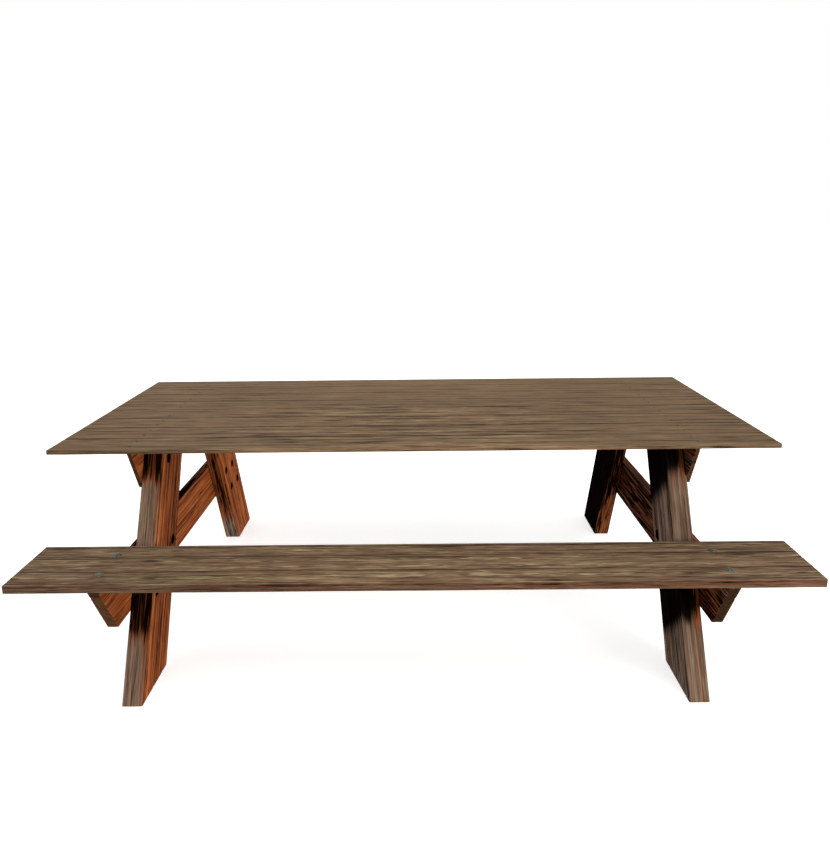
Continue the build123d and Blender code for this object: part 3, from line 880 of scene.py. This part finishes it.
# Colour ramps, (position, sRGB colour)
GREY_TOP = [(0.04, (34, 26, 20)), (0.22, (73, 58, 45)), (0.40, (101, 81, 61)),
            (0.52, (115, 93, 70)), (0.64, (127, 104, 78)), (0.80, (144, 122, 94)),
            (0.95, (160, 139, 111))]
GREY_BENCH = [(0.04, (34, 25, 19)), (0.22, (68, 52, 41)), (0.40, (98, 77, 60)),
              (0.52, (115, 92, 72)), (0.64, (129, 107, 83)), (0.80, (150, 130, 103)),
              (0.95, (171, 153, 126))]
GREY_LEG = [(0.04, (30, 21, 16)), (0.22, (67, 50, 40)), (0.40, (100, 79, 64)),
            (0.52, (123, 100, 83)), (0.64, (138, 116, 98)), (0.80, (154, 134, 116)),
            (0.95, (170, 152, 134))]
RED_EDGE = [(0.04, (30, 16, 11)), (0.26, (70, 44, 30)), (0.44, (98, 66, 48)),
            (0.56, (112, 76, 56)), (0.72, (128, 92, 70)), (0.90, (150, 116, 92))]
RED_LEG = [(0.04, (24, 9, 5)), (0.24, (88, 40, 18)), (0.40, (132, 67, 32)),
           (0.52, (156, 82, 40)), (0.64, (172, 95, 48)), (0.80, (188, 112, 60)),
           (0.95, (204, 134, 82))]

WOODS = {
    "tabletop_wood": dict(
        grey=GREY_TOP, red=RED_EDGE,
        lines=((-0.165, 1.0), (0.215, 0.9), (-0.492, 1.1), (0.492, 1.1)),
        line_w=0.024, line_gain=0.38, line_gap=(0.36, 0.60), wander=0.02,
        broad=0.24, fine=0.74, lift=0.035, mids=66.0, drift=0.55, hairs=1.35),
    "bench_wood": dict(
        grey=GREY_BENCH, red=RED_EDGE,
        lines=((-0.19, 1.0), (0.19, 1.0), (0.14, 0.55), (0.444, 1.1), (-0.47, 0.5)),
        line_w=0.0085, line_gain=0.50, wander=0.014,
        broad=0.12, fine=0.64, wave=0.003, lift=0.058, mids=140.0, hairs=1.75, ridge_gain=0.9,
        bands=((0.083, 0.030, 1.0), (-0.10, 0.030, 0.8), (-0.33, 0.035, 0.9),
               (0.345, 0.040, 0.5))),
    "frame_wood": dict(
        grey=GREY_LEG, red=RED_LEG, broad=0.15, fine=0.70, stripe=0.75, ridges=(60.0, 130.0),
        patch=1.9, drift=0.4, wave=0.003, lift=0.03, mids=120.0),
}
METALS = {
    "screw_steel": dict(base=(60, 49, 40), dark=(38, 30, 24), rust=(58, 38, 27),
                        rust_amount=0.35, rough=0.7, metallic=0.25, scale=2.0),
    "weathered_zinc": dict(base=(112, 116, 94), dark=(52, 55, 42), rust=(66, 50, 32),
                           rust_amount=0.18, rough=0.50, metallic=0.45, shade_inside=0.87),
    # nuts and washers: dark steel, made near black as painted shade in the recesses
    "dark_steel": dict(base=(17, 15, 13), dark=(8, 7, 6), rust=(30, 17, 11),
                       rust_amount=0.45, rough=0.85, metallic=0.0, spec=0.05),
}
FINISH = {name: wood(name, **options) for name, options in WOODS.items()}
FINISH.update({name: metal(name, **options) for name, options in METALS.items()})


# ---------------------------------------------------------------------------
# boards
# ---------------------------------------------------------------------------
def flat_board(node, slot, seed, paint, **shape):
    """A square-ended board that lies flat along x."""
    centre, size = mid_size(node)
    half = size.x / 2
    ends = (lambda across, deep: -half + 0 * across), (lambda across, deep: half + 0 * across)
    return timber(node, slot, centre, ((1, 0, 0), (0, 1, 0), (0, 0, 1)), size.y, size.z, ends,
                  seed, paint, **shape)


boards = []
for i in range(8):
    rng = np.random.RandomState(300 + i)
    pith = (0.13 * (1 if i % 2 else -1) + 0.05 * rng.rand(), -0.12 - 0.05 * rng.rand())
    # no dark line on the table's own front and rear edges
    frac_limits = (-0.40 if i == 0 else -0.5, 0.40 if i == 7 else 0.5)
    boards.append(flat_board(
        "tabletop_board_%d" % (i + 1), "tabletop_wood", 100 + 97 * i, paint_top,
        arris=0.0013, step_across=0.0019, step_deep=0.0026, step_along=0.0115, relief=0.00040,
        pith=pith, spacing=0.0062, checks=7, check_depth=0.0016, dents=0.0005,
        frac_limits=frac_limits))

BENCHES = ("front_bench_plank", "rear_bench_plank")
for k, node in enumerate(BENCHES):
    flat_board(node, "bench_wood", 1200 + 131 * k, paint_bench, arris=0.0017,
               step_across=0.0026, step_deep=0.0026, step_along=0.0115, relief=0.00055,
               pith=(0.25, -0.16), spacing=0.0072, checks=9, check_depth=0.0024,
               dents=0.0009, end_wear=0.0018)


def leg(side, end, node):
    """A slanted leg, cut level at its foot and its top."""
    centre, size = mid_size(node)
    lo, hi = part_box(node)
    foot, top = max(abs(lo.y), abs(hi.y)), hi.z
    level_width = size.y - LEG_SLOPE * size.z
    axes = (Vector((0, -end * LEG_SLOPE, 1)) / LEG_NORM,
            Vector((0, end, LEG_SLOPE)) / LEG_NORM, (side, 0, 0))
    origin = Vector((centre.x, end * (foot - level_width / 2), 0))
    ends = ((lambda across, deep: -LEG_SLOPE * across),
            (lambda across, deep: top * LEG_NORM - LEG_SLOPE * across))
    return timber(node, "frame_wood", origin, axes, level_width / LEG_NORM, size.x, ends,
                  2100 + 61 * (side + 1) + 29 * (end + 1), paint_leg(side, end), arris=0.0026,
                  step_across=0.0024, step_deep=0.0026, step_along=0.0085, relief=0.00060,
                  pith=(0.20, -0.13), spacing=0.0066, checks=7, check_depth=0.0028,
                  dents=0.0010, end_wear=0.0016, cap_rings=9)


SIDES = ((-1, "left"), (1, "right"))
legs = {}
for side, side_name in SIDES:
    for end, end_name in ((-1, "front"), (1, "rear")):
        legs[(side, end)] = leg(side, end, "leg_%s_%s" % (end_name, side_name))


def cross_piece(node, side, low_reach, high_reach, seed, paint, **shape):
    """A piece on edge along y, with slanted ends: its reach grows from bottom to top."""
    centre, size = mid_size(node)
    half = size.z / 2
    slope = (high_reach - low_reach) / size.z
    ends = ((lambda across, deep: -(low_reach + slope * (across + half))),
            (lambda across, deep: low_reach + slope * (across + half)))
    timber(node, "frame_wood", (centre.x, 0, centre.z), ((0, 1, 0), (0, 0, 1), (side, 0, 0)),
           size.z, size.x, ends, seed, paint, step_along=0.0095, **shape)


for side, side_name in SIDES:
    cross_piece("seat_beam_" + side_name, side, 0.657, 0.757, 3300 + 71 * side,
                paint_beam(side), arris=0.0018, step_across=0.0024, step_deep=0.0026,
                relief=0.00060, pith=(0.16, -0.10), spacing=0.0068, checks=8,
                check_depth=0.0024, dents=0.0009, end_wear=0.0016, cap_rings=7)
    cross_piece("top_cleat_" + side_name, side, 0.390, 0.465, 3700 + 71 * side,
                paint_cleat(side), arris=0.0012, step_across=0.0022, step_deep=0.0022,
                relief=0.00045, pith=(0.14, -0.09), spacing=0.0062, checks=5,
                check_depth=0.0018, end_wear=0.0011)


def centre_batten():
    """The batten under the top's middle, with the lower corners of its ends cut away."""
    centre, size = mid_size("centre_batten")
    cut_height, cut_length = 0.015, 0.040

    def reach(across, deep):
        full = size.y / 2
        cut = full - cut_length * (1 - (deep + size.z / 2) / cut_height)
        return np.where(deep > -size.z / 2 + cut_height, full, cut)

    timber("centre_batten", "frame_wood", (0, 0, centre.z), ((0, 1, 0), (1, 0, 0), (0, 0, 1)),
           size.x, size.z, (lambda across, deep: -reach(across, deep), reach), 4100,
           paint_batten, arris=0.0012, step_across=0.0024, step_deep=0.0022, step_along=0.010,
           relief=0.0004, pith=(0.12, -0.08), spacing=0.006, checks=3)


centre_batten()


# ---------------------------------------------------------------------------
# turned and hexagonal bodies
# ---------------------------------------------------------------------------
def lathe(verts, faces, profile, place, seg=48, flat=None, close=False):
    """Adds a turned body. profile is (radius, height) pairs, place a 4x4 matrix. A radius of
    None gives a chamfered hexagon whose flats are `flat` from the axis."""
    rows = []
    for radius, height in profile:
        if radius == 0.0:
            verts.append(place @ Vector((0, 0, height)))
            rows.append([len(verts) - 1] * seg)
            continue
        row = []
        for i in range(seg):
            angle = 2 * math.pi * i / seg
            point_r, point_h = radius, height
            if radius is None:
                from_flat = ((angle + math.pi / 6) % (math.pi / 3)) - math.pi / 6
                point_r = flat / math.cos(from_flat)
                drop = max(0.0, (point_r - flat) * math.tan(math.radians(30)))
                point_h = height - drop if height > NUT_H / 2 else height + drop
            verts.append(place @ Vector((point_r * math.cos(angle), point_r * math.sin(angle),
                                         point_h)))
            row.append(len(verts) - 1)
        rows.append(row)
    pairs = list(zip(rows[:-1], rows[1:]))
    if close:
        pairs.append((rows[-1], rows[0]))
    for lo, hi in pairs:
        for i in range(seg):
            j = (i + 1) % seg
            corners = [lo[i], lo[j], hi[j], hi[i]]
            corners = [v for n, v in enumerate(corners) if v not in corners[:n]]
            if len(corners) >= 3:
                faces.append(corners)


def to_object(name, verts, faces, sharp_degrees=35):
    mesh = bpy.data.meshes.new(name)
    mesh.from_pydata([tuple(v) for v in verts], [], faces)
    mesh.update()
    bm = bmesh.new()
    bm.from_mesh(mesh)
    bmesh.ops.recalc_face_normals(bm, faces=bm.faces)
    bm.to_mesh(mesh)
    bm.free()
    shade_smooth(mesh, sharp_degrees)
    return link(name, mesh)


def frame_at(point, z_dir, turn=0.0):
    """A matrix at a point, its z along z_dir, turned about that axis."""
    z = Vector(z_dir).normalized()
    x = Vector((0, 0, 1)) if abs(z.z) < 0.9 else Vector((1, 0, 0))
    x = (x - z * x.dot(z)).normalized()
    matrix = Matrix((x, z.cross(x), z)).transposed().to_4x4()
    matrix.translation = Vector(point)
    return matrix @ Matrix.Rotation(turn, 4, "Z")


# ---------------------------------------------------------------------------
# holes: countersinks in the boards, recesses in the legs
# ---------------------------------------------------------------------------
def cutter(items, soot, seg):
    """A cutting tool of turned bodies. items are (profile, place) pairs."""
    verts, faces = [], []
    for profile, place in items:
        lathe(verts, faces, profile, place, seg=seg)
    ob = to_object("tool", verts, faces)
    fields = dict(wv=points_of(ob.data), ring=0.3, cavity=0.4, edge=0.0, crack=0.0, cap=0.0,
                  weather=0.1, soot=soot, busy=1.0, shade=1.0, rag=1.0, frac=0.0, mark=2.0)
    for key, values in fields.items():
        set_attr(ob.data, key, values)
    return ob


def mesh_facts(mesh):
    """Signed volume, lowest corner and highest corner of a mesh."""
    bm = bmesh.new()
    bm.from_mesh(mesh)
    volume = bm.calc_volume(signed=True)
    bm.free()
    points = points_of(mesh)
    return volume, points.min(0), points.max(0)


def cut(ob, tool):
    """Returns the object's mesh with the tool taken out of it."""
    modifier = ob.modifiers.new("carve", "BOOLEAN")
    modifier.operation = "DIFFERENCE"
    modifier.solver = "EXACT"
    modifier.object = tool
    volume, lowest, highest = mesh_facts(ob.data)
    # a cut that turns the skin inside out or leaves a plug standing is done again with the
    # tool a hair aside
    for k in range(3):
        tool.location = (0.00003 * k, -0.00002 * k, 0.0)
        modifier.use_self = k > 1
        bpy.context.view_layer.update()
        graph = bpy.context.evaluated_depsgraph_get()
        mesh = bpy.data.meshes.new_from_object(
            ob.evaluated_get(graph), preserve_all_data_layers=True, depsgraph=graph)
        new_volume, new_lowest, new_highest = mesh_facts(mesh)
        good = (0 < new_volume < volume and np.all(new_lowest > lowest - 1e-5)
                and np.all(new_highest < highest + 1e-5))
        if good or k == 2:
            break
        bpy.data.meshes.remove(mesh)
    ob.modifiers.clear()
    return mesh


def carve(ob, tool, rim_shade, black=None):
    """Cuts the tool out of a board. rim_shade darkens the rim as painted shade, and black picks
    the points that turn black as painted shade, by place.
    """
    mesh = cut(ob, tool)
    old = ob.data
    ob.data = mesh
    mesh.name = old.name
    bpy.data.meshes.remove(old)
    tool_mesh = tool.data
    bpy.data.objects.remove(tool)
    bpy.data.meshes.remove(tool_mesh)
    for p in mesh.polygons:
        p.material_index = 0
    shade_smooth(mesh, 48)
    # the cut's new points take their grain from their place in the board
    origin, along_dir, across_dir, deep_dir, shift = GRAIN[ob.name]
    offsets = points_of(mesh).astype(float) - origin
    local = np.stack([offsets @ along_dir, offsets @ across_dir, offsets @ deep_dir], -1)
    set_attr(mesh, "wv", local + shift)
    # points on the rim copy the nearest of the board's own points
    mark = read_attr(mesh, "mark")
    rim = np.nonzero(mark < 0.5)[0]
    board_points = np.nonzero((mark > 0.5) & (mark < 1.5))[0]
    tree = KDTree(len(board_points))
    for k in board_points:
        tree.insert(mesh.vertices[int(k)].co, int(k))
    tree.balance()
    near = np.array([tree.find(mesh.vertices[int(k)].co)[1] for k in rim], int)
    for key in ("ring", "weather", "soot", "busy", "shade", "rag", "frac"):
        values = read_attr(mesh, key)
        values[rim] = values[near]
        # painted shade at the rim of the hole
        if key == "soot":
            values[rim] = np.maximum(values[rim], rim_shade)
        set_attr(mesh, key, values)
    # points inside the recesses turn black and dim: painted shade
    if black is not None:
        inside = black(offsets + origin)
        for key, value in (("soot", 1.4), ("rag", 0.0), ("cap", 0.0), ("edge", 0.0),
                           ("shade", 0.4)):
            values = read_attr(mesh, key)
            values[inside] = value
            set_attr(mesh, key, values)
    mesh.attributes.remove(mesh.attributes["mark"])


# (radius, depth below the surface)
COUNTERSINK = [(0.0, -0.003), (0.0046, -0.003), (0.0046, 0.0), (0.0043, 0.0010),
               (0.0022, 0.0034), (0.0, 0.0034)]
NUT_RECESS = [(0.0, -0.004), (0.0146, -0.004), (0.0138, -0.0002), (0.0131, 0.0012),
              (0.0130, RECESS), (SHANK_HOLE_R, RECESS), (SHANK_HOLE_R, RECESS + 0.012),
              (0.0, RECESS + 0.012)]

CLEAT_X = abs(mid_size("top_cleat_right")[0].x)
TOP_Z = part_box("tabletop_board_1")[1].z
for i, ob in enumerate(boards):
    centre, _ = mid_size("tabletop_board_%d" % (i + 1))
    items = [(COUNTERSINK, frame_at((side * CLEAT_X, centre.y + dy, TOP_Z), (0, 0, -1)))
             for side in (-1, 1) for dy in (-0.027, 0.027)]
    # the countersinks' faces and rims are darkened a little as painted shade
    carve(ob, cutter(items, 0.35, seg=28), 0.2)

LEG_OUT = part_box("leg_front_right")[1].x
LEG_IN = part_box("leg_front_right")[0].x
BEAM_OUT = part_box("seat_beam_right")[1].x
CLEAT_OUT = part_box("top_cleat_right")[1].x
for (side, end), ob in legs.items():
    items = [(NUT_RECESS, frame_at((side * LEG_IN, end * y, z), (side, 0, 0)))
             for y, z in LEG_HOLES]

    def in_recess(place, side=side, end=end):
        hit = np.zeros(len(place), bool)
        for y, z in LEG_HOLES:
            hit |= np.hypot(place[:, 1] - end * y, place[:, 2] - z) < 0.0137
        return hit & (place[:, 0] * side < LEG_OUT - 0.002)

    # the recess walls, their rims and their insides are painted black as shade
    carve(ob, cutter(items, 1.3, seg=40), 1.1, in_recess)

# ---------------------------------------------------------------------------
# hardware
# ---------------------------------------------------------------------------
turns = np.random.RandomState(7)


def dome_profile(radius, height, steps=10):
    """Half section of a low round head, from its rim's underside to its crown."""
    rim = 0.0009
    ball = (radius * radius + (height - rim) ** 2) / (2 * (height - rim))
    profile = [(0.0, 0.0), (radius * 0.55, 0.0), (radius - 0.0003, 0.0), (radius, 0.0003),
               (radius, rim * 0.7), (radius - 0.0004, rim + 0.0002)]
    top = math.asin(min(1.0, radius / ball))
    for i in range(1, steps + 1):
        angle = top * (1 - i / steps)
        profile.append((ball * math.sin(angle) if i < steps else 0.0,
                        height - ball + ball * math.cos(angle)))
    return profile


def shank_profile(radius, reach, threads):
    """A shank below the head, with rolled threads at its tip."""
    body = -reach + THREAD_PITCH * threads + 0.0015
    profile = [(0.0, 0.0002), (radius, 0.0002), (radius, body)]
    for k in range(threads):
        z = body - THREAD_PITCH * k
        profile += [(radius, z - 0.0002), (radius - 0.0006, z - 0.0007)]
    return profile + [(radius - 0.0010, -reach), (0.0, -reach)]


def bolts(node, places, head_r, head_h, shank_r, threads):
    """Round-headed bolts. places are (point, direction of the head, reach)."""
    verts, faces = [], []
    for point, z_dir, reach in places:
        place = frame_at(point, z_dir, turns.rand() * 6.28)
        lathe(verts, faces, dome_profile(head_r, head_h), place)
        lathe(verts, faces, shank_profile(shank_r, reach, threads), place, seg=28)
    own(to_object(node + "_turned", verts, faces), node, "weathered_zinc")


wood_grip = (LEG_OUT - LEG_IN) - RECESS
for node, holes, head_x in (("beam_bolts", BEAM_BOLTS, BEAM_OUT),
                            ("cleat_bolts", CLEAT_BOLTS, CLEAT_OUT)):
    reach = (head_x - LEG_OUT) + wood_grip + BOLT_PAST_RECESS
    bolts(node, [((side * head_x, end * y, z), (side, 0, 0), reach)
                 for side in (-1, 1) for end in (-1, 1) for y, z in holes],
          head_r=0.012, head_h=0.005, shank_r=0.005, threads=14)

dome_places = []
DOME_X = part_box("bench_dome_screws")[1].x - DOME_R
for node in BENCHES:
    lo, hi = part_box(node)
    outer = lo.y if lo.y < 0 else hi.y
    width = hi.y - lo.y
    for side in (-1, 1):
        for share in (0.24, 0.74):
            y = outer - math.copysign(share * width, outer)
            dome_places.append(((side * DOME_X, y, hi.z), (0, 0, 1), 0.090))
bolts("bench_dome_screws", dome_places, head_r=DOME_R, head_h=0.0045, shank_r=0.004, threads=0)

seats = [(side, end * y, z) for side in (-1, 1) for end in (-1, 1) for y, z in LEG_HOLES]


def washers():
    verts, faces = [], []
    bore, rim, thick, bevel = SHANK_HOLE_R, WASHER_R, WASHER_H, 0.0003
    profile = [(bore, bevel), (bore + bevel, 0.0), (rim - bevel, 0.0), (rim, bevel),
               (rim, thick - bevel), (rim - bevel, thick), (bore + bevel, thick),
               (bore, thick - bevel)]
    for side, y, z in seats:
        place = frame_at((side * (LEG_IN + RECESS), y, z), (-side, 0, 0), turns.rand())
        lathe(verts, faces, profile, place, seg=40, close=True)
    own(to_object("bolt_washers_turned", verts, faces), "bolt_washers", "dark_steel")


def nuts():
    verts, faces = [], []
    bore, bevel, face_r = 0.0051, 0.0006, NUT_FLAT - 0.0004
    profile = [(bore, bevel), (bore + bevel, 0.0), (face_r, 0.0), (None, 0.0), (None, NUT_H),
               (face_r, NUT_H), (bore + bevel, NUT_H), (bore, NUT_H - bevel)]
    for side, y, z in seats:
        place = frame_at((side * (LEG_IN + RECESS - WASHER_H), y, z), (-side, 0, 0),
                         turns.rand() * 1.05)
        lathe(verts, faces, profile, place, flat=NUT_FLAT, close=True)
    own(to_object("bolt_nuts_cut", verts, faces, sharp_degrees=25), "bolt_nuts", "dark_steel")


washers()
nuts()

for node in ("tabletop_screws", "batten_screws"):
    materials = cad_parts[node].data.materials
    materials.clear()
    materials.append(FINISH["screw_steel"])


# ---------------------------------------------------------------------------
# floor, light and camera
# ---------------------------------------------------------------------------
def floor():
    """A wide pale disc just under the feet, seen but casting no light on the table."""
    mesh = bpy.data.meshes.new("floor")
    count, radius = 96, 30.0
    angles = [2 * math.pi * i / count for i in range(count)]
    rim = [(radius * math.cos(angle), radius * math.sin(angle), -0.0006) for angle in angles]
    mesh.from_pydata(rim, [], [list(range(count))])
    mesh.update()
    ob = link("floor", mesh)
    shader = Shader("floor_paint")
    cloud = shader.noise(shader.object_place(), scale=3.0, detail=3.0)
    shader.surface("Base Color", shader.mix(cloud, (0.70, 0.70, 0.70), (0.74, 0.74, 0.735)))
    shader.surface("Roughness", 0.9)
    shader.surface("Specular IOR Level", 0.1)
    shader.surface("Emission Color", (1, 1, 1, 1))
    shader.surface("Emission Strength", 0.70)
    mesh.materials.append(shader.mat)
    ob.visible_diffuse = False
    ob.visible_glossy = False
    return ob


floor()


def studio():
    """A world that is white to the camera and lights the table more from above than below."""
    world = bpy.data.worlds.new("studio")
    SCENE.world = world
    world.use_nodes = True
    nodes, links = world.node_tree.nodes, world.node_tree.links
    nodes.clear()
    out = nodes.new("ShaderNodeOutputWorld")
    seen = nodes.new("ShaderNodeBackground")
    seen.inputs[0].default_value = (1, 1, 1, 1)
    seen.inputs[1].default_value = 1.0
    lit = nodes.new("ShaderNodeBackground")
    lit.inputs[0].default_value = (1.0, 0.99, 0.97, 1)
    place = nodes.new("ShaderNodeTexCoord")
    split = nodes.new("ShaderNodeSeparateXYZ")
    links.new(place.outputs["Generated"], split.inputs[0])
    strength = nodes.new("ShaderNodeMapRange")
    for key, value in (("From Min", -0.35), ("From Max", 0.6), ("To Min", 0.34),
                       ("To Max", 0.78)):
        strength.inputs[key].default_value = value
    links.new(split.outputs[2], strength.inputs["Value"])
    links.new(strength.outputs[0], lit.inputs[1])
    path = nodes.new("ShaderNodeLightPath")
    mix = nodes.new("ShaderNodeMixShader")
    links.new(path.outputs["Is Camera Ray"], mix.inputs[0])
    links.new(lit.outputs[0], mix.inputs[1])
    links.new(seen.outputs[0], mix.inputs[2])
    links.new(mix.outputs[0], out.inputs[0])


studio()


def lamp(name, kind, location, aim, energy, color):
    data = bpy.data.lights.new(name, kind)
    data.energy = energy
    data.color = color
    ob = link(name, data)
    ob.location = location
    ob.rotation_mode = "QUATERNION"
    ob.rotation_quaternion = aim.to_track_quat("-Z", "Y")
    return ob


def disk(name, location, target, size, energy, color):
    location = Vector(location)
    ob = lamp(name, "AREA", location, Vector(target) - location, energy, color)
    ob.data.shape = "DISK"
    ob.data.size = size
    ob.visible_camera = False


def sun(name, toward, energy, angle, color):
    """A sun that stands in the direction `toward`; angle is its width in degrees."""
    toward = Vector(toward)
    ob = lamp(name, "SUN", toward * 4, -toward, energy, color)
    ob.data.angle = math.radians(angle)


sun("key", toward=(0.30, -0.40, 0.88), energy=1.11, angle=34, color=(1.0, 0.985, 0.96))
sun("back", toward=(-0.25, 0.92, 0.20), energy=0.50, angle=60, color=(1.0, 0.97, 0.92))
disk("side", location=(2.7, -2.75, 0.42), target=(-0.8, 0.1, 0.40), size=1.5, energy=84,
     color=(1.0, 0.95, 0.88))
sun("fill", toward=(-0.78, -0.45, 0.30), energy=0.42, angle=60, color=(0.98, 0.99, 1.0))


def camera(location, yaw, pitch, roll, lens, shift_x, shift_y):
    """Looks along +y at no yaw; pitch tips it down. Angles are in radians, lens in mm."""
    data = bpy.data.cameras.new("camera")
    ob = link("camera", data)
    SCENE.camera = ob
    forward = Vector((math.sin(yaw) * math.cos(pitch), math.cos(yaw) * math.cos(pitch),
                      -math.sin(pitch)))
    right = Vector((math.cos(yaw), -math.sin(yaw), 0))
    up = right.cross(forward)
    rolled_right = right * math.cos(roll) + up * math.sin(roll)
    rolled_up = -right * math.sin(roll) + up * math.cos(roll)
    matrix = Matrix((rolled_right, rolled_up, -forward)).transposed().to_4x4()
    matrix.translation = Vector(location)
    ob.matrix_world = matrix
    data.sensor_width = 36.0
    data.sensor_fit = "AUTO"
    data.lens = lens
    data.shift_x = shift_x
    data.shift_y = shift_y
    data.clip_start, data.clip_end = 0.05, 200.0


camera(location=(0.02711126, -2.579216, 1.440036), yaw=-0.005731594, pitch=0.1874675,
       roll=-0.01123682, lens=29.670383943, shift_x=-0.0020174734, shift_y=-0.0804100354)

SCENE.view_settings.view_transform = "Standard"
SCENE.view_settings.look = "None"
SCENE.view_settings.exposure = 0.0
SCENE.view_settings.gamma = 1.0

bpy.context.view_layer.update()
